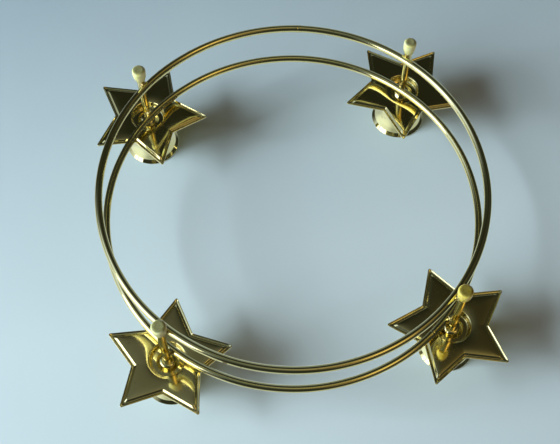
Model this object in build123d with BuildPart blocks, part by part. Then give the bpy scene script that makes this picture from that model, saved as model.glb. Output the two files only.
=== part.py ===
"""Advent candle holder: two wire rings on four capped legs, each leg with a star tray and a candle cup."""

from build123d import *
from math import cos, hypot, radians, sin
import os

os.makedirs("parts", exist_ok=True)

# All lengths are in millimetres. The holder stands on z = 0 and the rings turn about the Z axis.

# Rings and legs
ring_radius = 100.0
wire_diameter = 4.0
ring_spacing = 28.0
leg_diameter = 4.0
leg_count = 4
first_leg_angle = 45.0
leg_end_chamfer = 0.4
braze_gap = 0.3
braze_radius = 1.8

# Plastic foot caps
cap_length = 9.1
cap_floor = 1.5
cap_foot_diameter = 7.6
cap_mouth_wall = 0.7
cap_bulge = 0.4
cap_edge_radius = 1.0
cap_fit = 0.05
cap_ring_gap = 0.6

# Star trays
star_points = 5
star_radius = 34.3
star_notch_radius = 18.6
star_rounding = 0.8
tray_sheet = 0.8
bead_outer_run = 1.4
bead_crest_width = 0.2
bead_inner_run = 0.8
bead_height = 0.85
tray_edge_lift = 0.4
tray_fold_radius = 0.4
ring_tray_gap = 3.0
tray_turns = (-1.3, 3.8, -1.4, -0.3)

# Dished middle of each tray, seen from below as a round hollow
dish_radius = 9.2
dish_floor_radius = 7.4
dish_depth = 4.0
dish_floor_rounding = 3.5
dish_shoulder_radius = 0.7

# Leg tenon, washer and nut
tenon_diameter = 3.0
tenon_clearance = 0.1
tenon_reach = 0.8
washer_diameter = 7.0
washer_thickness = 1.2
washer_chamfer = 0.3
nut_across_flats = 5.5
nut_thickness = 2.4

# Candle cups
candle_diameter = 22.0
candle_clearance = 0.4
cup_sheet = 0.7
cup_height = 24.4
cup_corner_radius = 5.5
cup_flare_height = 5.6
cup_flare_reach = 1.5
cup_lip_height = 2.4
cup_lip_reach = 1.9

# Places that follow from the sizes above
wire_radius = wire_diameter / 2
leg_radius = leg_diameter / 2
tenon_radius = tenon_diameter / 2
tenon_hole_radius = tenon_radius + tenon_clearance
leg_circle = ring_radius + wire_radius + braze_gap + leg_radius
leg_step = 360 / leg_count
lower_ring_height = cap_length + cap_ring_gap + wire_radius
upper_ring_height = lower_ring_height + ring_spacing
tray_height = upper_ring_height + wire_radius + ring_tray_gap
dish_height = tray_height + dish_depth
leg_shoulder = dish_height - washer_thickness
cup_base = dish_height + tray_sheet
nut_seat = cup_base + cup_sheet


def leg_plane(number, height, turn=0):
    """Level plane on a leg's axis, with X pointing away from the rings and turned by some degrees."""
    place = radians(first_leg_angle + number * leg_step)
    facing = place + radians(turn)
    centre = (leg_circle * cos(place), leg_circle * sin(place), height)
    return Plane(origin=centre, x_dir=(cos(facing), sin(facing), 0), z_dir=(0, 0, 1))


def profile_plane(number, height):
    """Upright plane through a leg's axis, with X pointing outward and Y pointing up."""
    level = leg_plane(number, height)
    return Plane(origin=level.origin, x_dir=level.x_dir, z_dir=-level.y_dir)


def star_face(inset):
    """Flat star with rounded corners, drawn in by an inset all along its edge."""
    half_step = radians(180 / star_points)
    side = hypot(star_radius - star_notch_radius * cos(half_step), star_notch_radius * sin(half_step))
    side_distance = star_radius * star_notch_radius * sin(half_step) / side
    inset_share = 1 - inset / side_distance
    radii = (star_radius * inset_share, star_notch_radius * inset_share)
    corners = [Vector(radii[k % 2], 0).rotate(Axis.Z, k * 180 / star_points) for k in range(2 * star_points)]
    with BuildSketch(mode=Mode.PRIVATE) as star:
        with BuildLine():
            Polyline(*corners, close=True)
        make_face()
        fillet(star.vertices(), radius=star_rounding)
    return star.sketch_local


# The two wire rings, equal in size
rings = {"lower_ring": lower_ring_height, "upper_ring": upper_ring_height}
ring_parts = []
for name, height in rings.items():
    section = Plane(origin=(ring_radius, 0, height), x_dir=(1, 0, 0), z_dir=(0, -1, 0))
    with BuildPart() as ring:
        with BuildSketch(section):
            Circle(wire_radius)
        revolve(axis=Axis.Z)
    ring.part.label = name
    export_step(ring.part, f"parts/{name}.step")
    ring_parts.append(ring.part)

leg_parts = []
for number, turn in enumerate(tray_turns):
    axis = Axis(leg_plane(number, 0).origin, (0, 0, 1))

    # Straight rod with a thinner tenon that runs up through the washer, tray, cup and nut
    with BuildPart() as leg:
        with BuildSketch(leg_plane(number, cap_floor)):
            Circle(leg_radius)
        extrude(amount=leg_shoulder - cap_floor)
        chamfer(leg.edges().group_by(Axis.Z)[0], length=leg_end_chamfer)
        with BuildSketch(leg_plane(number, leg_shoulder)):
            Circle(tenon_radius)
        extrude(amount=nut_seat + nut_thickness + tenon_reach - leg_shoulder)
        chamfer(leg.edges().group_by(Axis.Z)[-1], length=leg_end_chamfer)
    leg.part.label = f"leg_{number + 1}"
    export_step(leg.part, f"parts/{leg.part.label}.step")
    leg_parts.append(leg.part)

    # Push-on cap, widest at the floor and drawn in towards its mouth
    foot_radius = cap_foot_diameter / 2
    bore_radius = leg_radius + cap_fit
    mouth_radius = bore_radius + cap_mouth_wall
    with BuildPart() as foot_cap:
        with BuildSketch(profile_plane(number, 0)) as section:
            with BuildLine():
                Polyline(
                    (mouth_radius, cap_length),
                    (bore_radius, cap_length),
                    (bore_radius, cap_floor),
                    (0, cap_floor),
                    (0, 0),
                    (foot_radius, 0),
                )
                side_middle = ((foot_radius + mouth_radius) / 2 + cap_bulge, cap_length / 2)
                ThreePointArc((foot_radius, 0), side_middle, (mouth_radius, cap_length))
            make_face()
            fillet(section.vertices().group_by(Axis.Y)[0].sort_by(Axis.X)[-1], radius=cap_edge_radius)
        revolve(axis=axis)
    foot_cap.part.label = f"foot_cap_{number + 1}"
    export_step(foot_cap.part, f"parts/{foot_cap.part.label}.step")

    # Pressed star tray: a panel with a raised bead along its border, dished in the middle to carry the cup
    panel_inset = bead_outer_run + bead_crest_width + bead_inner_run
    edge_height = tray_height + tray_edge_lift
    crest_height = tray_height + bead_height
    outer_slope = {edge_height: 0, crest_height: bead_outer_run}
    inner_slope = {tray_height: panel_inset, crest_height: bead_outer_run + bead_crest_width}
    with BuildPart() as tray:
        with BuildSketch(leg_plane(number, edge_height, turn)):
            add(star_face(0))
        extrude(amount=tray_sheet)
        bead_sides = (
            (outer_slope, tray_sheet, Mode.ADD),
            (outer_slope, 0, Mode.SUBTRACT),
            (inner_slope, 0, Mode.ADD),
            (inner_slope, tray_sheet, Mode.SUBTRACT),
        )
        for slope, skin, mode in bead_sides:
            for height, inset in slope.items():
                with BuildSketch(leg_plane(number, height + skin, turn)):
                    add(star_face(inset))
            loft(ruled=True, mode=mode)
        fillet(tray.edges().group_by(Axis.Z)[0], radius=tray_fold_radius)
        for skin, mode in ((tray_sheet, Mode.ADD), (0, Mode.SUBTRACT)):
            with BuildSketch(profile_plane(number, tray_height)) as section:
                with BuildLine():
                    Polyline(
                        (0, 0),
                        (dish_radius + skin, 0),
                        (dish_floor_radius + skin, dish_depth + skin),
                        (0, dish_depth + skin),
                        close=True,
                    )
                make_face()
                floor_corner = section.vertices().group_by(Axis.Y)[-1].sort_by(Axis.X)[-1]
                fillet(floor_corner, radius=dish_floor_rounding + skin)
            revolve(axis=axis, mode=mode)
        shoulder = tray.edges().group_by(Axis.Z)[0].filter_by(GeomType.CIRCLE).sort_by(SortBy.RADIUS)[-1]
        fillet(shoulder, radius=dish_shoulder_radius)
        with BuildSketch(leg_plane(number, dish_height)):
            Circle(tenon_hole_radius)
        extrude(amount=tray_sheet, mode=Mode.SUBTRACT)
    tray.part.label = f"star_tray_{number + 1}"
    export_step(tray.part, f"parts/{tray.part.label}.step")

    # Candle cup: round-bottomed socket that widens into a bell mouth
    socket_radius = candle_diameter / 2 + candle_clearance
    crease_height = cup_height - cup_lip_height
    crease_radius = socket_radius + cup_flare_reach
    with BuildPart() as cup:
        with BuildSketch(profile_plane(number, cup_base)) as section:
            with BuildLine():
                Polyline(
                    (tenon_hole_radius, 0),
                    (socket_radius + cup_sheet, 0),
                    (socket_radius + cup_sheet, crease_height - cup_flare_height),
                    (crease_radius + cup_sheet, crease_height),
                    (crease_radius + cup_lip_reach + cup_sheet, cup_height),
                    (crease_radius + cup_lip_reach, cup_height),
                    (crease_radius, crease_height),
                    (socket_radius, crease_height - cup_flare_height),
                    (socket_radius, cup_sheet),
                    (tenon_hole_radius, cup_sheet),
                    close=True,
                )
            make_face()
            outer_corner = section.vertices().group_by(Axis.Y)[0].sort_by(Axis.X)[-1]
            fillet(outer_corner, radius=cup_corner_radius)
            inner_corner = section.vertices().group_by(Axis.Y)[1].sort_by(Axis.X)[-1]
            fillet(inner_corner, radius=cup_corner_radius - cup_sheet)
        revolve(axis=axis)
    cup.part.label = f"candle_cup_{number + 1}"
    export_step(cup.part, f"parts/{cup.part.label}.step")

# Washers between the legs' shoulders and the trays
with BuildPart() as washers:
    for number in range(leg_count):
        with BuildSketch(leg_plane(number, leg_shoulder)):
            Circle(washer_diameter / 2)
            Circle(tenon_hole_radius, mode=Mode.SUBTRACT)
        extrude(amount=washer_thickness)
    chamfer(washers.edges().group_by(Axis.Z)[0].group_by(SortBy.RADIUS)[-1], length=washer_chamfer)
washers.part.label = "leg_washers"
export_step(washers.part, "parts/leg_washers.step")

# Nuts on the tenons, inside the cups
with BuildPart() as nuts:
    for number in range(leg_count):
        with BuildSketch(leg_plane(number, nut_seat)):
            RegularPolygon(radius=nut_across_flats / 2, side_count=6, major_radius=False)
            Circle(tenon_hole_radius, mode=Mode.SUBTRACT)
        extrude(amount=nut_thickness)
nuts.part.label = "cup_nuts"
export_step(nuts.part, "parts/cup_nuts.step")

# Brazing beads: short round plugs that fill the narrow gap where each leg passes each ring
with BuildPart() as brazes:
    for height in rings.values():
        for number in range(leg_count):
            level = leg_plane(number, height)
            with BuildSketch(Plane(origin=level.origin, x_dir=level.y_dir, z_dir=-level.x_dir)):
                Circle(braze_radius)
            extrude(amount=leg_circle - ring_radius)
    for piece in ring_parts + leg_parts:
        add(piece, mode=Mode.SUBTRACT)
brazes.part.label = "braze_joints"
export_step(brazes.part, "parts/braze_joints.step")
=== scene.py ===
"""Advent candle holder in worn polished brass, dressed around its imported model.

The holder stands on its four feet. The camera looks up at it from below, which shows it
as it lies upside down on a pale table, resting on the rims of its candle cups.
"""
import logging
import math
from abc import ABC, abstractmethod
from dataclasses import dataclass
from enum import Enum
from typing import Callable, ClassVar, Optional, Sequence, Union

import bmesh
import bpy
from mathutils import Matrix, Vector, noise


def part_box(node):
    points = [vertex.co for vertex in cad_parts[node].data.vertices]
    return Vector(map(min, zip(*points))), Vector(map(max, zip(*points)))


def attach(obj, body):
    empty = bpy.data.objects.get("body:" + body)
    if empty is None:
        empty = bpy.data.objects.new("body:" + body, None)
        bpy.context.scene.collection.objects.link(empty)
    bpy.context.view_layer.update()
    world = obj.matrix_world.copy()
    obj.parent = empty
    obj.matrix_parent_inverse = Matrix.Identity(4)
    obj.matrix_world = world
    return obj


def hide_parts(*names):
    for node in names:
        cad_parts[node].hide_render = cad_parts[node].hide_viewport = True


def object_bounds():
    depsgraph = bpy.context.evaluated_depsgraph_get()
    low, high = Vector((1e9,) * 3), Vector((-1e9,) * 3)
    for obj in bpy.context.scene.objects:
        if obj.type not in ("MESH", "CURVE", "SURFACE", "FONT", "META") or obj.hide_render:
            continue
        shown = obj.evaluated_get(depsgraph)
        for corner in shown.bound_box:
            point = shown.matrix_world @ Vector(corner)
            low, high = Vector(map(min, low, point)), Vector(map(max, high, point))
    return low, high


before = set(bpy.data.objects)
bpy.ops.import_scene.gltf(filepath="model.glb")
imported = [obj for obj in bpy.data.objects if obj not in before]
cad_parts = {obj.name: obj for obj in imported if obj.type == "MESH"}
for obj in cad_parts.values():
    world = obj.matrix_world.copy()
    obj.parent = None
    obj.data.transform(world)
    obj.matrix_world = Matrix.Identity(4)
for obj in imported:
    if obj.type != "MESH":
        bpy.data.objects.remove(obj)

log = logging.getLogger("candle_holder")

MM = 0.001
FULL_TURN = 2 * math.pi
ON_AXIS = 1e-6
LEG_NUMBERS = (1, 2, 3, 4)
AMBER_CAP = 1
BODY = "root"
PATH_MAP = "path"
CAD_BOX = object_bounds()

Loop = list[Vector]
Colour = tuple[float, float, float]
Span = tuple[float, float]
Socket = bpy.types.NodeSocket


class Slot(Enum):
    """The record's material slots."""

    BRASS = "brass"
    BRAZE = "braze"
    CAP = "cap"


@dataclass(frozen=True)
class Corner:
    """A corner of a drawn outline in millimetres, with the radius that rounds it."""

    x: float
    y: float
    radius: float = 0.0


def clamped(value: float) -> float:
    """Hold a number between 0 and 1."""
    return min(1.0, max(0.0, value))


def polar(radius: float, angle: float, height: float = 0.0) -> Vector:
    """Point at a radius and an angle about the upright axis."""
    return Vector((radius * math.cos(angle), radius * math.sin(angle), height))


def arc_points(before: Vector, corner: Corner, after: Vector, steps: int) -> list[Vector]:
    """Points of the arc that rounds one corner.

    Args:
        before: The outline's point before the corner.
        corner: The corner itself.
        after: The outline's point after the corner.
        steps: How many straight steps stand for the arc.

    Returns:
        The arc's points in order, from its first tangent point to its last.
    """
    here = Vector((corner.x, corner.y))
    into, out = (here - before).normalized(), (after - here).normalized()
    turn = math.atan2(into.x * out.y - into.y * out.x, into.dot(out))
    start = here - into * corner.radius * math.tan(abs(turn) / 2)
    centre = start + Vector((-into.y, into.x)) * math.copysign(corner.radius, turn)
    return [centre + Matrix.Rotation(turn * k / steps, 2) @ (start - centre) for k in range(steps + 1)]


def rounded(corners: Sequence[Corner], closed: bool = True, steps: int = 8,
            support: float = 0.04) -> list[Vector]:
    """Outline with its corners rounded, and with a point close to each end of each straight run.

    The points close to the ends keep the flat runs flat in smooth shading.

    Args:
        corners: The outline's corners in order.
        closed: Whether the last corner joins the first.
        steps: Straight steps in each arc.
        support: Distance from an arc's end to its support point.

    Returns:
        The outline's points in order.
    """
    places = [Vector((c.x, c.y)) for c in corners]
    points: list[Vector] = []
    for k, corner in enumerate(corners):
        at_end = not closed and k in (0, len(corners) - 1)
        if at_end or not corner.radius:
            points.append(places[k])
            continue
        before, after = places[k - 1], places[(k + 1) % len(corners)]
        arc = arc_points(before, corner, after, steps)
        points.append(arc[0] + (before - arc[0]).normalized() * support)
        points += arc
        points.append(arc[-1] + (after - arc[-1]).normalized() * support)
    return points


def turned(path: Sequence[Vector], centre: Vector, steps: int,
           lift: Optional[Callable[[float, Vector], float]] = None) -> list[Loop]:
    """Loops of a round form turned about an upright axis.

    Args:
        path: The form's half section, as radius and height in millimetres.
        centre: The axis' place.
        steps: Points in each loop.
        lift: Gives an extra height from the angle and the section's point.

    Returns:
        One loop for each point of the path. A point on the axis is a loop of one point.
    """
    loops = []
    for point in path:
        if point.x < ON_AXIS:
            loops.append([Vector((centre.x, centre.y, point.y))])
            continue
        loop = []
        for k in range(steps):
            angle = FULL_TURN * k / steps
            rise = lift(angle, point) if lift else 0.0
            loop.append(Vector((centre.x + point.x * math.cos(angle), centre.y + point.x * math.sin(angle),
                                point.y + rise)))
        loops.append(loop)
    return loops


def add_shell(work: bmesh.types.BMesh, loops: Sequence[Loop], closed: bool) -> None:
    """Join a run of loops into a skin, and map its faces along and around the run.

    Args:
        work: The mesh in the making.
        loops: The loops in order, all of one length, or of one point for a tip.
        closed: Whether the last loop joins the first.
    """
    path_map = work.loops.layers.uv[PATH_MAP]
    rings = [[work.verts.new(p) for p in loop] for loop in loops]
    count = max(len(ring) for ring in rings)
    spans = len(rings) if closed else len(rings) - 1
    for k in range(spans):
        near, far = rings[k], rings[(k + 1) % len(rings)]
        for j in range(count):
            picks = [(near, j, k), (near, j + 1, k), (far, j + 1, k + 1), (far, j, k + 1)]
            corners, marks = [], []
            for ring, at, along in picks:
                vert = ring[at % len(ring)]
                if vert not in corners:
                    corners.append(vert)
                    marks.append((along / spans, at / count))
            if len(corners) < 3:
                continue
            face = work.faces.new(corners)
            for loop, mark in zip(face.loops, marks):
                loop[path_map].uv = mark


class Graph:
    """Adds and joins the nodes of one material or world."""

    def __init__(self, owner: Union[bpy.types.Material, bpy.types.World]) -> None:
        """Start with an empty tree.

        Args:
            owner: The material or world to fill.
        """
        owner.use_nodes = True
        self.tree = owner.node_tree
        self.tree.nodes.clear()

    def node(self, kind: str, inputs: Optional[dict] = None, **settings: object) -> bpy.types.Node:
        """Add a node.

        Args:
            kind: The node's type without its ShaderNode prefix.
            inputs: Values or sockets for the node's inputs, by name or number.
            settings: Properties of the node.

        Returns:
            The new node.
        """
        made = self.tree.nodes.new("ShaderNode" + kind)
        for name, value in settings.items():
            setattr(made, name, value)
        for name, value in (inputs or {}).items():
            if isinstance(value, Socket):
                self.tree.links.new(value, made.inputs[name])
            else:
                made.inputs[name].default_value = value
        return made

    def range(self, value: Socket, source: Span, target: Span = (0.0, 1.0),
              easing: str = "LINEAR") -> Socket:
        """Map a number from a source range to a target range, held within the target."""
        ends = dict(enumerate((value, *source, *target)))
        return self.node("MapRange", ends, interpolation_type=easing).outputs["Result"]

    def blend(self, share: Socket, first: Union[Colour, Socket], second: Union[Colour, Socket],
              mode: str = "MIX") -> Socket:
        """Blend two colours.

        Args:
            share: How much of the second colour shows.
            first: The first colour, or its socket.
            second: The second colour, or its socket.
            mode: How the colours blend.

        Returns:
            The blended colour's socket.
        """
        ends = [c if isinstance(c, Socket) else (*c, 1.0) for c in (first, second)]
        return self.node("Mix", {0: share, 6: ends[0], 7: ends[1]}, data_type="RGBA",
                         blend_type=mode).outputs[2]

    def noise(self, coords: Socket, scale: float, detail: float = 3.0) -> Socket:
        """Soft noise about 0.5, by its lumps in one unit and its number of finer layers."""
        return self.node("TexNoise", {"Vector": coords, "Scale": scale, "Detail": detail}).outputs["Fac"]


@dataclass(frozen=True)
class BrassFinish:
    """Polished brass with tarnish, handling marks and fine polishing lines."""

    name: str
    colour: Colour = (0.92, 0.83, 0.44)
    deep_colour: Colour = (0.88, 0.77, 0.36)
    tarnish: Colour = (0.20, 0.12, 0.045)
    roughness: Span = (0.05, 0.13)
    tone_scale: float = 45.0
    spot_scale: float = 420.0
    spot_range: Span = (0.66, 0.73)
    patch_scale: float = 28.0
    haze_scale: float = 130.0
    dirt_roughness: float = 0.3
    drawn: bool = False
    drawn_scale: tuple[float, float, float] = (120.0, 88.0, 4.0)
    polish_scale: tuple[float, float, float] = (260.0, 1500.0, 700.0)
    bump: float = 0.06
    bump_distance: float = 0.00004

    def material(self) -> bpy.types.Material:
        """Build the node material.

        Returns:
            The finished material.
        """
        made = bpy.data.materials.new(self.name)
        graph = Graph(made)
        place = graph.node("TexCoord").outputs["Object"]
        tone = graph.range(graph.noise(place, self.tone_scale, 4.0), (0.35, 0.65))
        spots = graph.range(graph.noise(place, self.spot_scale, 2.0), self.spot_range)
        patches = graph.range(graph.noise(place, self.patch_scale, 5.0), (0.52, 0.70), (0.15, 1.0))
        dirt = graph.node("Math", {0: spots, 1: patches}, operation="MULTIPLY").outputs[0]
        clean = graph.blend(tone, self.colour, self.deep_colour)
        colour = graph.blend(dirt, clean, self.tarnish)
        along = graph.node("UVMap", uv_map=PATH_MAP).outputs[0] if self.drawn else place
        scale = self.drawn_scale if self.drawn else self.polish_scale
        lines = graph.noise(graph.node("Mapping", {"Vector": along, "Scale": scale}).outputs[0], 1.0)
        haze = graph.range(graph.noise(place, self.haze_scale, 5.0), (0.35, 0.7), self.roughness)
        rough = graph.node("Math", {0: dirt, 1: self.dirt_roughness, 2: haze},
                           operation="MULTIPLY_ADD").outputs[0]
        relief = graph.node("Bump", {"Height": lines, "Strength": self.bump, "Distance": self.bump_distance})
        shader = graph.node("BsdfPrincipled", {"Base Color": colour, "Metallic": 1.0, "Roughness": rough,
                                               "Normal": relief.outputs[0]})
        graph.node("OutputMaterial", {"Surface": shader.outputs[0]})
        return made


@dataclass(frozen=True)
class PlasticFinish:
    """Soft translucent plastic, yellowed with age, with painted shade that darkens the flat end of each cap.
    """

    name: str
    colour: Colour = (0.72, 0.75, 0.43)
    aged_colour: Colour = (0.63, 0.65, 0.30)
    # Painted shade on the caps' flat ends: a share of the aged colour, and the heights over which it fades
    # out.
    painted_end_shade: float = 0.42
    end_shade_depth: Span = (0.00013, 0.0006)
    roughness: Span = (0.22, 0.42)
    age_scale: float = 170.0
    haze_scale: float = 420.0
    grain_scale: float = 650.0
    grain: float = 0.15
    grain_depth: float = 0.0001

    def material(self) -> bpy.types.Material:
        """Build the node material.

        Returns:
            The finished material.
        """
        made = bpy.data.materials.new(self.name)
        graph = Graph(made)
        place = graph.node("TexCoord").outputs["Object"]
        age = graph.range(graph.noise(place, self.age_scale, 4.0), (0.4, 0.68))
        fresh = graph.blend(age, self.colour, self.aged_colour)
        # Painted shade: the flat end, lowest in the object's frame, is darkened towards a share of the aged
        # colour to stand in for the shade it lies in.
        end_shade = graph.range(graph.node("SeparateXYZ", {0: place}).outputs[2], self.end_shade_depth, (1.0, 0.0))
        colour = graph.blend(end_shade, fresh, tuple(self.painted_end_shade * part for part in self.aged_colour))
        rough = graph.range(graph.noise(place, self.haze_scale, 4.0), (0.35, 0.65), self.roughness)
        grain = graph.noise(place, self.grain_scale)
        relief = graph.node("Bump", {"Height": grain, "Strength": self.grain, "Distance": self.grain_depth})
        shader = graph.node("BsdfPrincipled", {
            "Base Color": colour, "Roughness": rough, "IOR": 1.47, "Subsurface Weight": 1.0,
            "Subsurface Radius": (1.0, 0.9, 0.5), "Subsurface Scale": 0.002, "Normal": relief.outputs[0]})
        graph.node("OutputMaterial", {"Surface": shader.outputs[0]})
        return made


@dataclass(frozen=True)
class SheetFinish:
    """Pale surface that shows only from its front, with painted shade that darkens it towards its far side,
    fading out towards its edge.
    """

    name: str
    colour: Colour
    far_shade_colour: Colour
    far_side: Vector
    far_reach: Span
    fade: Span
    cloud: float = 0.05
    cloud_scale: float = 9.0
    roughness: float = 0.6

    def material(self) -> bpy.types.Material:
        """Build the node material.

        Returns:
            The finished material.
        """
        made = bpy.data.materials.new(self.name)
        graph = Graph(made)
        place = graph.node("TexCoord").outputs["Object"]
        # Painted shade: the colour darkens towards the far side, standing in for the light that falls off
        # across the sheet.
        lean = graph.node("VectorMath", {0: place, 1: self.far_side}, operation="DOT_PRODUCT")
        far = graph.range(lean.outputs["Value"], self.far_reach)
        cloud = graph.range(graph.noise(place, self.cloud_scale, 4.0), (0.3, 0.7), (-self.cloud, self.cloud))
        share = graph.node("Math", {0: far, 1: cloud}, operation="ADD").outputs[0]
        colour = graph.blend(share, self.colour, self.far_shade_colour)
        shader = graph.node("BsdfPrincipled", {"Base Color": colour, "Roughness": self.roughness,
                                               "Specular IOR Level": 0.0})
        away = graph.node("VectorMath", {0: place}, operation="LENGTH").outputs["Value"]
        gone = graph.range(away, self.fade)
        behind = graph.node("NewGeometry").outputs["Backfacing"]
        hidden = graph.node("Math", {0: gone, 1: behind}, operation="MAXIMUM").outputs[0]
        clear = graph.node("BsdfTransparent")
        mixed = graph.node("MixShader", {0: hidden, 1: shader.outputs[0], 2: clear.outputs[0]})
        graph.node("OutputMaterial", {"Surface": mixed.outputs[0]})
        return made


@dataclass(frozen=True)
class Station:
    """One leg's place among the four."""

    number: int
    centre: Vector

    @classmethod
    def from_frame(cls, number: int) -> "Station":
        """Read a station from its packed leg.

        Args:
            number: The leg's number.

        Returns:
            The station, in millimetres.
        """
        low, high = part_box(f"leg_{number}")
        middle = (low + high) / 2 / MM
        return cls(number, Vector((middle.x, middle.y, 0.0)))


def levels(node: str) -> Span:
    """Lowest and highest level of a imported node, in millimetres."""
    low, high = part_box(node)
    return low.z / MM, high.z / MM


@dataclass
class Piece(ABC):
    """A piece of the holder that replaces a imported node."""

    kind: ClassVar[str]
    slot: ClassVar[Slot] = Slot.BRASS
    crisp_angle: ClassVar[Optional[float]] = 60.0

    @property
    def node(self) -> str:
        """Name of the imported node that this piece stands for."""
        return self.kind

    @abstractmethod
    def build(self) -> bpy.types.Mesh:
        """Make the piece's mesh in the row frame."""

    def skin(self, *runs: list[Loop], closed: bool = True) -> bpy.types.Mesh:
        """Join runs of loops in millimetres into the piece's mesh in metres.

        Args:
            runs: The runs of loops, one for each separate body.
            closed: Whether the last loop of each run joins its first.

        Returns:
            The smooth-shaded mesh. Edges that turn by more than the crisp angle stay crisp.
        """
        work = bmesh.new()
        work.loops.layers.uv.new(PATH_MAP)
        for loops in runs:
            add_shell(work, loops, closed)
        bmesh.ops.recalc_face_normals(work, faces=work.faces)
        made = bpy.data.meshes.new(self.node)
        work.to_mesh(made)
        work.free()
        made.transform(Matrix.Scale(MM, 4))
        made.shade_smooth()
        if self.crisp_angle is not None:
            made.set_sharp_from_angle(angle=math.radians(self.crisp_angle))
        return made

    def dress(self, material: bpy.types.Material) -> None:
        """Place the piece, give it its finish and let it stand for its node.

        Args:
            material: The finish.
        """
        mesh = self.build()
        mesh.materials.append(material)
        made = bpy.data.objects.new(self.node + "_dressed", mesh)
        bpy.context.scene.collection.objects.link(made)
        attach(made, BODY)
        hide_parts(self.node)
        log.info("%s: %d faces in %s", made.name, len(mesh.polygons), material.name)


@dataclass
class StationPiece(Piece):
    """A piece that each of the four stations has as a node of its own."""

    station: Station

    @property
    def node(self) -> str:
        """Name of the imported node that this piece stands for."""
        return f"{self.kind}_{self.station.number}"


@dataclass
class WireRing(Piece):
    """Closed ring of round wire with its butt-welded seam."""

    name: str
    seam_angle: float
    seam_bulge: float = 0.10
    seam_reach: float = 1.6
    seam_groove: float = 0.12
    groove_reach: float = 0.30
    wander: float = 0.10
    wander_scale: float = 3.0
    wander_step: float = 50.0
    around: int = 40
    along: int = 540
    seam_steps: int = 48
    seam_zone: float = 5.0

    @property
    def node(self) -> str:
        """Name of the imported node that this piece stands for."""
        return self.name

    def angles(self, radius: float) -> list[float]:
        """Angles of the ring's sections, closer together at the seam.

        Args:
            radius: The ring's radius at the middle of the wire.

        Returns:
            The angles, counted from the seam.
        """
        zone = self.seam_zone / radius
        close = [-zone + 2 * zone * k / self.seam_steps for k in range(self.seam_steps)]
        rest = [zone + (FULL_TURN - 2 * zone) * k / self.along for k in range(self.along)]
        return close + rest

    def build(self) -> bpy.types.Mesh:
        """Sweep the wire's section round the ring.

        Returns:
            The mesh.
        """
        low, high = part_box(self.name)
        wire = (high.z - low.z) / 2 / MM
        radius = (high.x - low.x) / 2 / MM - wire
        level = (high.z + low.z) / 2 / MM
        loops = []
        for angle in self.angles(radius):
            away = radius * math.remainder(angle, FULL_TURN)
            swell = self.seam_bulge * math.exp(-(away / self.seam_reach) ** 2)
            swell -= self.seam_groove * math.exp(-(away / self.groove_reach) ** 2)
            bearing = angle + math.radians(self.seam_angle)
            spots = [polar(self.wander_scale, bearing, level + step) for step in (0.0, self.wander_step)]
            shift = Vector([noise.noise(spot) for spot in spots]) * self.wander
            loop = []
            for k in range(self.around):
                side = FULL_TURN * k / self.around
                out = radius + shift.x + (wire + swell) * math.cos(side)
                rise = level + shift.y + (wire + swell) * math.sin(side)
                loop.append(polar(out, bearing, rise))
            loops.append(loop)
        return self.skin(loops)


@dataclass
class Leg(StationPiece):
    """Straight rod with a threaded tenon at its top."""

    kind: ClassVar[str] = "leg"
    crisp_angle: ClassVar[Optional[float]] = 50.0
    tenon_radius: float = 1.5
    edge: float = 0.4
    edge_rounding: float = 0.1
    shoulder_rounding: float = 0.05
    thread_pitch: float = 0.5
    thread_depth: float = 0.22
    thread_length: float = 4.2
    steps: int = 48
    steps_per_pitch: int = 8

    def build(self) -> bpy.types.Mesh:
        """Turn the rod and cut the thread into its tenon.

        Returns:
            The mesh.
        """
        low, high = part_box(self.node)
        rod = (high.x - low.x) / 2 / MM
        bottom, top = levels(self.node)
        shoulder = levels("leg_washers")[0]
        thread_start = top - self.thread_length
        rod_path = rounded([
            Corner(0.0, bottom), Corner(rod - self.edge, bottom, self.edge_rounding),
            Corner(rod, bottom + self.edge, self.edge_rounding),
            Corner(rod, shoulder, self.shoulder_rounding),
            Corner(self.tenon_radius, shoulder, self.shoulder_rounding),
            Corner(self.tenon_radius, thread_start),
        ], closed=False)
        loops = turned(rod_path, self.station.centre, self.steps)
        count = round(self.thread_length / self.thread_pitch * self.steps_per_pitch)
        for k in range(1, count + 1):
            level = thread_start + self.thread_length * k / count
            loops.append(self.thread_loop(level, top))
        loops.append([self.station.centre + Vector((0.0, 0.0, top))])
        return self.skin(loops, closed=False)

    def thread_loop(self, level: float, top: float) -> Loop:
        """One level of the thread, cut along a helix and chamfered at the end.

        Args:
            level: The loop's height.
            top: The tenon's end.

        Returns:
            The loop's points.
        """
        limit = self.tenon_radius - max(0.0, self.edge - (top - level))
        loop = []
        for k in range(self.steps):
            angle = FULL_TURN * k / self.steps
            phase = (level / self.thread_pitch - k / self.steps) % 1.0
            depth = self.thread_depth * (1 - abs(2 * phase - 1))
            radius = min(limit, self.tenon_radius - depth)
            loop.append(self.station.centre + polar(radius, angle, level))
        return loop


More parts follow.
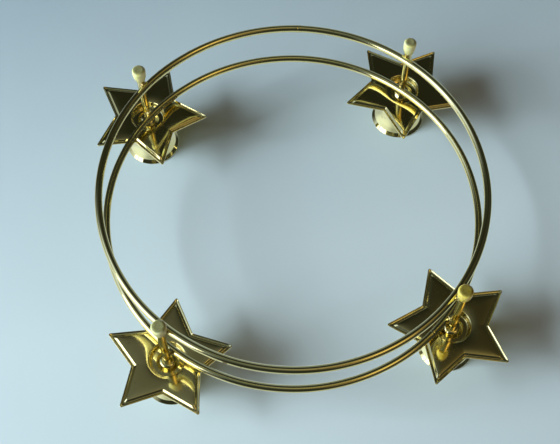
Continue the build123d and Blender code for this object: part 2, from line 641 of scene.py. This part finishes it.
@dataclass
class FootCap(StationPiece):
    """Push-on plastic cap, fat at the floor and torn a little at its mouth."""

    kind: ClassVar[str] = "foot_cap"
    slot: ClassVar[Slot] = Slot.CAP
    slimmer: ClassVar[dict[int, float]] = {3: 0.2, 4: 0.45}
    fit: float = 0.06
    floor: float = 1.5
    mouth_wall: float = 0.55
    mouth_rounding: float = 0.2
    edge: float = 1.6
    bulge: float = 0.35
    flank_shares: tuple[float, ...] = (0.72, 0.45, 0.2)
    flank_rounding: float = 2.0
    dimple: float = 0.12
    dimple_share: float = 0.5
    dimple_floor: float = 0.6
    dimple_roundings: Span = (1.0, 0.5)
    tear: float = 0.55
    tear_start: float = 0.72
    tear_scale: float = 2.2
    steps: int = 72

    def build(self) -> bpy.types.Mesh:
        """Turn the cap's section, with a torn mouth.

        Returns:
            The mesh.
        """
        low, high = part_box(self.node)
        foot = (high.x - low.x) / 2 / MM - self.slimmer.get(self.station.number, 0.0)
        top = high.z / MM
        leg_low, leg_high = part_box(f"leg_{self.station.number}")
        bore = (leg_high.x - leg_low.x) / 2 / MM + self.fit
        mouth = bore + self.mouth_wall
        flank = [Corner(mouth + (foot - mouth) * share + self.bulge * math.sin(math.pi * share),
                        top * (1 - share) + self.edge * share, self.flank_rounding)
                 for share in self.flank_shares]
        dimple = foot * self.dimple_share
        path = rounded([
            Corner(0.0, self.dimple),
            Corner(dimple * self.dimple_floor, self.dimple, self.dimple_roundings[0]),
            Corner(dimple, 0.0, self.dimple_roundings[1]), Corner(foot, 0.0, self.edge), *flank,
            Corner(mouth, top, self.mouth_rounding), Corner(bore, top), Corner(bore, self.floor),
            Corner(0.0, self.floor),
        ], closed=False)

        def torn(angle: float, point: Vector) -> float:
            """Drop of the torn mouth's edge at an angle.

            Args:
                angle: Angle about the leg, in radians.
                point: Radius and height on the cap's outline.

            Returns:
                The height that the point gains, which is below zero where the mouth is torn.
            """
            near = max(0.0, (point.y - self.tear_start * top) / ((1 - self.tear_start) * top))
            side = polar(1.0, angle, self.station.number) * self.tear_scale
            return -self.tear * near * (0.5 + noise.noise(side))

        return self.skin(turned(path, self.station.centre, self.steps, torn), closed=False)


@dataclass
class StarTray(StationPiece):
    """Pressed star tray with a raised bead along its border and a dished middle."""

    kind: ClassVar[str] = "star_tray"
    points: int = 5
    tip_radius: float = 34.3
    tip_share: float = 0.985
    tip_facing: float = 0.9
    notch_radius: float = 18.6
    corner_radius: float = 0.8
    sheet: float = 0.8
    bead_outer: float = 1.35
    bead_crest: float = 0.2
    bead_inner: float = 0.9
    bead_height: float = 1.0
    edge_lift: float = 0.29
    lip: float = 0.85
    fold: float = 0.35
    lip_rounding: float = 1.3
    rim: float = 0.15
    support: float = 0.02
    dish_radius: float = 9.2
    dish_floor: float = 8.8
    dish_depth: float = 4.0
    dish_rounding: float = 1.0
    shoulder: float = 0.7
    upper_shoulder: float = 0.25
    apron: float = 1.2
    hole: float = 1.6
    margin: float = 0.8
    dish_sag: float = 0.35
    dish_sag_reach: float = 2.5
    border_sag: float = 0.15
    border_sag_reach: float = 1.6
    dent: float = 0.05
    dent_scale: float = 0.07
    dent_step: float = 9.0
    side_steps: int = 18
    corner_steps: int = 8
    panel_rings: int = 28

    @property
    def crest_inset(self) -> float:
        """Distance from the tray's edge to the inner side of the bead's crest."""
        return self.bead_outer + self.bead_crest

    @property
    def panel_inset(self) -> float:
        """Distance from the tray's edge to its flat panel."""
        return self.crest_inset + self.bead_inner

    @property
    def side_distance(self) -> float:
        """Distance from the tray's middle to the straight line of each side.

        Returns:
            The distance, the same for all sides.
        """
        half_step = math.pi / self.points
        side = math.hypot(self.tip_radius - self.notch_radius * math.cos(half_step),
                          self.notch_radius * math.sin(half_step))
        return self.tip_radius * self.notch_radius * math.sin(half_step) / side

    def bearing(self) -> float:
        """Angle at which the tray's outer tip points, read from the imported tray.

        Returns:
            The angle about the leg, in radians.
        """
        offsets = [v.co.xy / MM - self.station.centre.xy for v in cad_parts[self.node].data.vertices]
        outward = self.station.centre.xy.normalized()
        reach = max(offset.length for offset in offsets)
        far = [offset for offset in offsets if offset.length > self.tip_share * reach]
        tip = [offset for offset in far if offset.normalized().dot(outward) > self.tip_facing]
        middle = sum(tip, Vector((0.0, 0.0)))
        return math.atan2(middle.y, middle.x)

    def outline(self, inset: float) -> list[Vector]:
        """Star outline drawn in by an inset, with the same count of points for any inset.

        Args:
            inset: Distance from the tray's edge.

        Returns:
            The outline's points about the tray's middle, before it is turned.
        """
        half_step = math.pi / self.points
        share = 1 - inset / self.side_distance
        corners = []
        for k in range(2 * self.points):
            radius = share * (self.notch_radius if k % 2 else self.tip_radius)
            corners.append(Corner(radius * math.cos(k * half_step), radius * math.sin(k * half_step),
                                  self.corner_radius))
        places = [Vector((c.x, c.y)) for c in corners]
        arcs = [arc_points(places[k - 1], c, places[(k + 1) % len(places)], self.corner_steps)
                for k, c in enumerate(corners)]
        points: list[Vector] = []
        for k, arc in enumerate(arcs):
            points += arc
            start, end = arc[-1], arcs[(k + 1) % len(arcs)][0]
            points += [start.lerp(end, j / self.side_steps) for j in range(1, self.side_steps)]
        return points

    def border(self) -> list[Vector]:
        """Section of the border from the panel's underside round the edge to its upper side.

        Returns:
            Points of inset and height above the panel's underside.
        """
        lower = [
            Corner(self.panel_inset + self.margin, 0.0), Corner(self.panel_inset, 0.0, self.fold),
            Corner(self.crest_inset, self.bead_height, self.fold),
            Corner(self.lip, self.bead_height, self.lip_rounding), Corner(0.0, self.edge_lift, self.rim),
        ]
        upper = [Corner(corner.x, corner.y + self.sheet, corner.radius) for corner in reversed(lower)]
        return rounded(lower + upper, closed=False, support=self.support)

    def dish(self, skin: float) -> list[Vector]:
        """Section of the dish on one side of the sheet, from its hole to its shoulder.

        Args:
            skin: Distance of this side from the sheet's underside.

        Returns:
            Points of radius and height above the panel's underside.
        """
        mouth = self.dish_radius + skin
        return rounded([
            Corner(self.hole, self.dish_depth + skin),
            Corner(self.dish_floor + skin, self.dish_depth + skin, self.dish_rounding + skin),
            Corner(mouth, skin, self.upper_shoulder if skin else self.shoulder),
            Corner(mouth + self.apron, skin),
        ], closed=False)

    def sag(self, radius: float, inset: float) -> float:
        """How far the pressed panel gives way towards the dish and the border.

        Args:
            radius: Distance from the tray's middle.
            inset: Distance from the tray's edge.

        Returns:
            The height that the sheet gains.
        """
        from_dish = max(0.0, radius - self.dish_radius)
        from_border = max(0.0, inset - self.panel_inset)
        return (self.dish_sag * math.exp(-from_dish / self.dish_sag_reach)
                + self.border_sag * math.exp(-from_border / self.border_sag_reach))

    def build(self) -> bpy.types.Mesh:
        """Join dish, panel and border on both sides of the sheet into one skin.

        Returns:
            The mesh.
        """
        base = levels(self.node)[0]
        turn = Matrix.Rotation(self.bearing(), 2)
        panel_edge = self.panel_inset + self.margin
        outer = self.outline(panel_edge)
        rays = [point.normalized() for point in outer]
        edges = [point.length / (1 - panel_edge / self.side_distance) for point in outer]
        shares = [k / self.panel_rings for k in range(1, self.panel_rings)]

        def placed(flat: Vector, height: float) -> Vector:
            """Point of the tray in the row frame."""
            spot = turn @ flat
            return self.station.centre + Vector((spot.x, spot.y, base + height))

        def sagged(flat: Vector, height: float, edge: float, share: float) -> Vector:
            """Point of the sheet, with a share of its sag."""
            inset = self.side_distance * (1 - flat.length / edge)
            return placed(flat, height + share * self.sag(flat.length, inset))

        def round_loop(point: Vector, skin: float) -> Loop:
            """Loop of the dish at one radius and height."""
            share = clamped(1 - (point.y - skin) / self.dish_depth)
            return [sagged(ray * point.x, point.y, edge, share) for ray, edge in zip(rays, edges)]

        def border_loop(point: Vector, skin: float) -> Loop:
            """Loop of the border at one inset and height, which sags inside the crest alone."""
            share = 0.0 if point.x < self.crest_inset else clamped(1 - (point.y - skin) / self.bead_height)
            return [sagged(flat, point.y, edge, share) for flat, edge in zip(self.outline(point.x), edges)]

        def dented(flat: Vector, height: float, edge: float, share: float) -> Vector:
            """Point of the panel, which is never quite flat.

            Args:
                flat: The point, seen from above.
                height: Its height on a flat panel.
                edge: Distance of the tray's edge on the same ray.
                share: How far the point lies from the dish to the border.

            Returns:
                The point with its dent and sag.
            """
            where = Vector((flat.x, flat.y, self.dent_step * self.station.number)) * self.dent_scale
            return sagged(flat, height + self.dent * noise.noise(where) * math.sin(math.pi * share),
                          edge, 1.0)

        def panel(skin: float) -> list[Loop]:
            """Loops between the dish and the border on one side of the sheet.

            Args:
                skin: Height of that side over the sheet's lower one.

            Returns:
                The loops, from the dish outward.
            """
            starts = [ray * (self.dish_radius + skin + self.apron) for ray in rays]
            return [[dented(near.lerp(far, share), skin, edge, share)
                     for near, far, edge in zip(starts, outer, edges)] for share in shares]

        section = self.border()
        half = len(section) // 2
        edge = [border_loop(point, 0.0 if k < half else self.sheet) for k, point in enumerate(section)]
        below = [round_loop(point, 0.0) for point in self.dish(0.0)]
        above = [round_loop(point, self.sheet) for point in self.dish(self.sheet)]
        return self.skin(below + panel(0.0) + edge + panel(self.sheet)[::-1] + above[::-1])


@dataclass
class CandleCup(StationPiece):
    """Spun candle cup with a round bottom and a bell mouth."""

    kind: ClassVar[str] = "candle_cup"
    socket: float = 11.4
    sheet: float = 0.7
    hole: float = 1.6
    bottom_radius: float = 5.5
    flare_height: float = 5.6
    flare_reach: float = 1.5
    lip_height: float = 2.4
    lip_reach: float = 1.9
    flare_rounding: float = 24.0
    crease: float = 0.25
    rim: float = 0.3
    steps: int = 160
    arc_steps: int = 10

    def build(self) -> bpy.types.Mesh:
        """Turn the cup's wall about the leg's axis.

        Returns:
            The mesh.
        """
        low, high = levels(self.node)
        crease_level = high - self.lip_height
        crease_radius = self.socket + self.flare_reach
        mouth = crease_radius + self.lip_reach
        wall = self.sheet
        path = rounded([
            Corner(self.hole, low), Corner(self.socket + wall, low, self.bottom_radius),
            Corner(self.socket + wall, crease_level - self.flare_height, self.flare_rounding),
            Corner(crease_radius + wall, crease_level, self.crease), Corner(mouth + wall, high, self.rim),
            Corner(mouth, high, self.rim), Corner(crease_radius, crease_level, self.crease),
            Corner(self.socket, crease_level - self.flare_height, self.flare_rounding),
            Corner(self.socket, low + wall, self.bottom_radius - wall), Corner(self.hole, low + wall),
        ], steps=self.arc_steps)
        return self.skin(turned(path, self.station.centre, self.steps))


@dataclass
class LegWashers(Piece):
    """Domed washers between the legs' shoulders and the trays, with a short collar round each leg."""

    kind: ClassVar[str] = "leg_washers"
    stations: Sequence[Station]
    radius: float = 6.0
    hole: float = 1.6
    collar: float = 2.03
    collar_rise: float = 1.3
    crown: float = 3.6
    dome: float = 2.0
    edge: float = 0.1
    edge_rounding: float = 0.04
    steps: int = 72

    def build(self) -> bpy.types.Mesh:
        """Turn one washer on each leg.

        Returns:
            The mesh.
        """
        low, high = levels(self.node)
        foot = low - self.collar_rise
        path = rounded([
            Corner(self.collar, foot), Corner(self.crown, foot, self.dome),
            Corner(self.radius, high - self.edge, self.edge_rounding),
            Corner(self.radius, high, self.edge_rounding),
            Corner(self.hole, high), Corner(self.hole, low), Corner(self.collar, low),
        ])
        return self.skin(*[turned(path, station.centre, self.steps) for station in self.stations])


@dataclass
class CupNuts(Piece):
    """Six-sided nuts with turned-down corners, inside the cups."""

    kind: ClassVar[str] = "cup_nuts"
    crisp_angle: ClassVar[Optional[float]] = 25.0
    stations: Sequence[Station]
    across_flats: float = 5.5
    hole: float = 1.6
    chamfer: float = 0.35
    face_inset: float = 0.05
    steps: int = 72

    def hexagon(self, centre: Vector, level: float, limit: float) -> Loop:
        """Six-sided loop, cut round where it reaches past a limit.

        Args:
            centre: The nut's axis.
            level: The loop's height.
            limit: The largest radius.

        Returns:
            The loop's points.
        """
        loop = []
        for k in range(self.steps):
            angle = FULL_TURN * k / self.steps
            from_flat = math.remainder(angle - math.pi / 6, math.pi / 3)
            radius = min(limit, self.across_flats / 2 / math.cos(from_flat))
            loop.append(centre + polar(radius, angle, level))
        return loop

    def build(self) -> bpy.types.Mesh:
        """Make one nut on each leg's tenon.

        Returns:
            The mesh.
        """
        low, high = levels(self.node)
        corner = self.across_flats / 2 / math.cos(math.pi / 6)
        flat = self.across_flats / 2 - self.face_inset
        hexes = [(low, flat), (low + self.chamfer, corner), (high - self.chamfer, corner), (high, flat)]
        bore = [Vector((self.hole, high)), Vector((self.hole, low))]
        runs = []
        for station in self.stations:
            loops = [self.hexagon(station.centre, level, limit) for level, limit in hexes]
            runs.append(loops + turned(bore, station.centre, self.steps))
        return self.skin(*runs)


@dataclass
class BrazeJoints(Piece):
    """Beads of filler metal drawn into the narrow gaps between the legs and the rings."""

    kind: ClassVar[str] = "braze_joints"
    slot: ClassVar[Slot] = Slot.BRAZE
    crisp_angle: ClassVar[Optional[float]] = None
    stations: Sequence[Station]
    radius: float = 1.9
    uneven: float = 0.25
    uneven_scale: float = 2.0
    hollow: float = 0.16
    sunk: float = 0.06
    wrap: float = 0.95
    steps: int = 40
    rings: int = 6

    def bead(self, station: Station, level: float, wire: float, ring_radius: float) -> list[Loop]:
        """Loops of one bead, from its middle on the ring's side to its middle on the leg's side.

        Args:
            station: The leg.
            level: The ring's height.
            wire: Radius of the ring's wire, and of the leg.
            ring_radius: The ring's radius at the middle of the wire.

        Returns:
            The bead's loops.
        """
        out = station.centre.normalized()
        along = Vector((-out.y, out.x, 0.0))
        leg_circle = station.centre.length
        rise = Vector((0.0, 0.0, level))

        def spot(spread: float, angle: float, side: int) -> Vector:
            """Point of the bead.

            Args:
                spread: Share of the bead's radius.
                angle: Angle about the bead's axis.
                side: 0 against the ring, 1 against the leg.

            Returns:
                The point.
            """
            lump = noise.noise(polar(self.uneven_scale, angle, level + leg_circle))
            reach = spread * self.radius * (1 + self.uneven * lump)
            across = reach * math.cos(angle)
            up = reach * math.sin(angle)
            bend = min(abs(across if side else up), wire * self.wrap)
            depth = math.sqrt(wire ** 2 - bend ** 2) - self.sunk
            far = leg_circle - depth if side else ring_radius + depth
            return out * far + along * across + rise + Vector((0.0, 0.0, up))

        sides = []
        for side in (0, 1):
            loops = [[spot(0.0, 0.0, side)]]
            for k in range(1, self.rings + 1):
                share = k / self.rings
                loops.append([spot(share, FULL_TURN * j / self.steps, side) for j in range(self.steps)])
            sides.append(loops)
        waist = []
        for near, far in zip(sides[0][-1], sides[1][-1]):
            middle = near.lerp(far, 0.5)
            core = out * middle.dot(out) + rise
            waist.append(middle.lerp(core, self.hollow))
        return sides[0] + [waist] + sides[1][::-1]

    def build(self) -> bpy.types.Mesh:
        """Make a bead at each crossing.

        Returns:
            The mesh.
        """
        runs = []
        for ring in ("lower_ring", "upper_ring"):
            low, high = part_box(ring)
            wire = (high.z - low.z) / 2 / MM
            level = (high.z + low.z) / 2 / MM
            runs += [self.bead(station, level, wire, high.x / MM - wire) for station in self.stations]
        return self.skin(*runs, closed=False)


@dataclass(frozen=True)
class PhotoView:
    """Camera and directions of the photograph, in which the holder lies upside down.

    In the photograph's own frame X points right, Y away from the viewer and Z up from the table.
    """

    width_px: int = 560
    focal_px: float = 1044.73
    sensor_mm: float = 36.0
    elevation: float = 62.877
    distance: float = 515.72
    aim: Span = (-6.744, -27.335)
    turn: float = 7.15
    clip: Span = (0.01, 50.0)

    def to_row(self, photo: Vector) -> Vector:
        """Turn a direction or place from the photograph's frame into the row frame."""
        flipped = Vector((photo.x, -photo.y, -photo.z))
        return Matrix.Rotation(math.radians(self.turn), 3, "Z") @ flipped

    def direction(self, azimuth: float, elevation: float) -> Vector:
        """Row direction, by degrees from the picture's right towards its top and above the table."""
        turn, rise = math.radians(azimuth), math.radians(elevation)
        return self.to_row(polar(math.cos(rise), turn, math.sin(rise)))

    def camera(self) -> None:
        """Make the scene's camera."""
        tilt = math.radians(self.elevation)
        back = Vector((0.0, -math.cos(tilt), math.sin(tilt)))
        up = Vector((0.0, math.sin(tilt), math.cos(tilt)))
        place = self.to_row(Vector((*self.aim, 0.0)) + back * self.distance) * MM
        axes = [self.to_row(axis) for axis in (Vector((1.0, 0.0, 0.0)), up, back)]
        lens = bpy.data.cameras.new("camera")
        lens.sensor_fit = "HORIZONTAL"
        lens.sensor_width = self.sensor_mm
        lens.lens = self.sensor_mm * self.focal_px / self.width_px
        lens.clip_start, lens.clip_end = self.clip
        made = bpy.data.objects.new("camera", lens)
        made.matrix_world = Matrix.Translation(place) @ Matrix(axes).transposed().to_4x4()
        bpy.context.scene.collection.objects.link(made)
        bpy.context.scene.camera = made


@dataclass(frozen=True)
class Lamp:
    """Soft box that points at the holder."""

    name: str
    towards: Vector
    distance: float
    size: Span
    power: float
    colour: Colour
    mirrored: bool = True

    def build(self) -> None:
        """Make the lamp."""
        light = bpy.data.lights.new(self.name, "AREA")
        light.shape = "RECTANGLE"
        light.size, light.size_y = self.size
        light.energy = self.power
        light.color = self.colour
        made = bpy.data.objects.new(self.name, light)
        aim = self.towards.normalized()
        made.location = aim * self.distance
        made.rotation_mode = "QUATERNION"
        made.rotation_quaternion = aim.to_track_quat("Z", "Y")
        made.visible_camera = False
        made.visible_glossy = self.mirrored
        bpy.context.scene.collection.objects.link(made)


@dataclass(frozen=True)
class Glow:
    """Soft round patch of light or shade in the room, by its direction in the photograph."""

    azimuth: float
    elevation: float
    core: float
    reach: float
    colour: Colour

    def share(self, graph: Graph, way: Socket, view: PhotoView) -> Socket:
        """Find how much of the patch shows in a direction.

        Args:
            graph: The world's nodes.
            way: The direction's socket.
            view: The photograph's directions.

        Returns:
            The share's socket: 1 in the core, 0 beyond the reach.
        """
        middle = view.direction(self.azimuth, self.elevation)
        near = graph.node("VectorMath", {0: way, 1: middle}, operation="DOT_PRODUCT").outputs["Value"]
        ends = math.cos(math.radians(self.reach)), math.cos(math.radians(self.core))
        return graph.range(near, ends, easing="SMOOTHSTEP")


@dataclass(frozen=True)
class Surround:
    """Room around the holder as the metal mirrors it, and a plain backdrop for the camera."""

    backdrop: Colour = (0.62, 0.68, 0.71)
    ambient: Colour = (0.105, 0.066, 0.034)
    table: Colour = (0.48, 0.57, 0.60)
    table_rise: Span = (0.2, 0.55)
    dim: Colour = (0.026, 0.030, 0.026)
    shade: Glow = Glow(85.0, 57.0, 15.0, 32.0, (0.016, 0.018, 0.013))
    glows: tuple[Glow, ...] = (
        Glow(135.0, 72.0, 3.0, 20.0, (0.040, 0.028, 0.014)),
        Glow(327.0, 62.0, 2.0, 10.5, (1.25, 0.90, 0.30)),
        Glow(335.0, 74.0, 6.0, 25.0, (0.20, 0.15, 0.055)),
        Glow(340.0, 72.0, 5.0, 36.0, (0.040, 0.030, 0.010)),
        Glow(312.0, 42.0, 4.0, 24.0, (0.16, 0.12, 0.05)),
        Glow(190.0, 72.0, 5.0, 38.0, (0.07, 0.10, 0.11)),
        Glow(178.0, 45.0, 8.0, 20.0, (0.45, 0.55, 0.75)),
        Glow(193.0, 30.0, 18.0, 42.0, (0.34, 0.42, 0.54)),
        Glow(82.0, 0.0, 8.0, 44.0, (0.18, 0.23, 0.28)),
        Glow(195.0, -24.0, 16.0, 50.0, (0.45, 0.52, 0.58)),
    )

    def build(self, view: PhotoView) -> None:
        """Fill the scene's world.

        Args:
            view: The photograph's directions.
        """
        world = bpy.data.worlds.new("surround")
        bpy.context.scene.world = world
        graph = Graph(world)
        way = graph.node("TexCoord").outputs["Generated"]
        height = graph.node("SeparateXYZ", {0: way}).outputs[2]
        room = graph.blend(self.shade.share(graph, way, view), self.dim, self.shade.colour)
        seen = graph.blend(graph.range(height, self.table_rise), room, self.table)
        for glow in self.glows:
            seen = graph.blend(glow.share(graph, way, view), seen, glow.colour, "ADD")
        path = graph.node("LightPath")
        lit = graph.blend(path.outputs["Is Glossy Ray"], self.ambient, seen)
        colour = graph.blend(path.outputs["Is Camera Ray"], lit, self.backdrop)
        shader = graph.node("Background", {"Color": colour, "Strength": 1.0})
        graph.node("OutputWorld", {"Surface": shader.outputs[0]})


def sheet_plane(name: str, level: float, half: float, faces_down: bool, finish: SheetFinish) -> None:
    """Make a square sheet for the stage, which only the camera sees.

    Args:
        name: The sheet's name.
        level: Its height.
        half: Half its side.
        faces_down: Whether its front looks down.
        finish: Its finish.
    """
    corners = [(-half, -half), (half, -half), (half, half), (-half, half)]
    order = (3, 2, 1, 0) if faces_down else (0, 1, 2, 3)
    mesh = bpy.data.meshes.new(name)
    mesh.from_pydata([(x, y, 0.0) for x, y in corners], [], [order])
    mesh.materials.append(finish.material())
    made = bpy.data.objects.new(name, mesh)
    made.location.z = level
    bpy.context.scene.collection.objects.link(made)
    for ray in ("shadow", "diffuse", "glossy", "transmission"):
        setattr(made, "visible_" + ray, False)


@dataclass(frozen=True)
class Stage:
    """Floor, table, room and lamps."""

    view: PhotoView = PhotoView()
    sheet_half: float = 3.0
    sheet_gap: float = 0.0002

    def build(self) -> None:
        """Make everything around the holder."""
        bpy.context.scene.view_settings.view_transform = "Standard"
        self.view.camera()
        Surround().build(self.view)
        away = self.view.to_row(Vector((-0.3, 0.95, 0.0)))
        # Painted shade: the table and the floor darken towards their far side.
        table = SheetFinish("table_top", colour=(0.59, 0.72, 0.77), far_shade_colour=(0.35, 0.46, 0.52),
                            far_side=away, far_reach=(-0.02, 0.22), fade=(2.5, 3.0))
        floor = SheetFinish("pale_floor", colour=(0.66, 0.70, 0.72), far_shade_colour=(0.62, 0.67, 0.69),
                            far_side=away, far_reach=(-0.5, 0.5), fade=(0.6, 1.4))
        sheet_plane("table", CAD_BOX[1].z + self.sheet_gap, self.sheet_half, True, table)
        sheet_plane("floor", -self.sheet_gap, self.sheet_half, False, floor)
        towards = self.view.direction
        daylight, skylight, warm = (0.93, 0.98, 1.0), (0.88, 0.99, 1.05), (1.0, 0.99, 0.97)
        lamps = [
            Lamp("window_left", towards(197.5, 20.0), 2.5, (1.05, 1.6), 16.0, daylight),
            Lamp("window_right", towards(220.0, 20.0), 2.5, (0.75, 1.6), 11.0, daylight),
            Lamp("day_key", towards(193.0, 28.0), 1.8, (0.8, 0.8), 41.5, skylight, False),
            Lamp("day_side", towards(224.0, 28.0), 1.8, (0.6, 0.8), 4.5, skylight, False),
            Lamp("upper_key", Vector((-0.6, -0.5, 1.0)), 1.4, (0.8, 0.8), 16.0, warm, False),
            Lamp("upper_fill", Vector((0.8, 0.4, 0.7)), 1.6, (1.2, 1.2), 9.0, warm, False),
        ]
        for lamp in lamps:
            lamp.build()
            log.info("lamp %s", lamp.name)


def main() -> None:
    """Build the stage and dress every piece of the holder."""
    logging.basicConfig(level=logging.INFO, format="%(name)s %(message)s")
    Stage().build()
    plate = BrassFinish("polished_plate").material()
    wire = BrassFinish("drawn_wire", roughness=(0.06, 0.13), drawn=True, bump=0.01).material()
    filler = BrassFinish("braze_filler", colour=(0.72, 0.57, 0.26), roughness=(0.2, 0.4),
                         bump=0.5).material()
    plastic = PlasticFinish("aged_plastic").material()
    amber = PlasticFinish("amber_plastic", colour=(0.68, 0.60, 0.15),
                          aged_colour=(0.60, 0.51, 0.09)).material()
    stations = [Station.from_frame(number) for number in LEG_NUMBERS]
    WireRing("lower_ring", seam_angle=-80.9).dress(wire)
    WireRing("upper_ring", seam_angle=52.0).dress(wire)
    for station in stations:
        Leg(station).dress(wire)
        FootCap(station).dress(amber if station.number == AMBER_CAP else plastic)
        StarTray(station).dress(plate)
        CandleCup(station).dress(plate)
    LegWashers(stations).dress(plate)
    CupNuts(stations).dress(plate)
    BrazeJoints(stations).dress(filler)


if __name__ == "__main__":
    main()
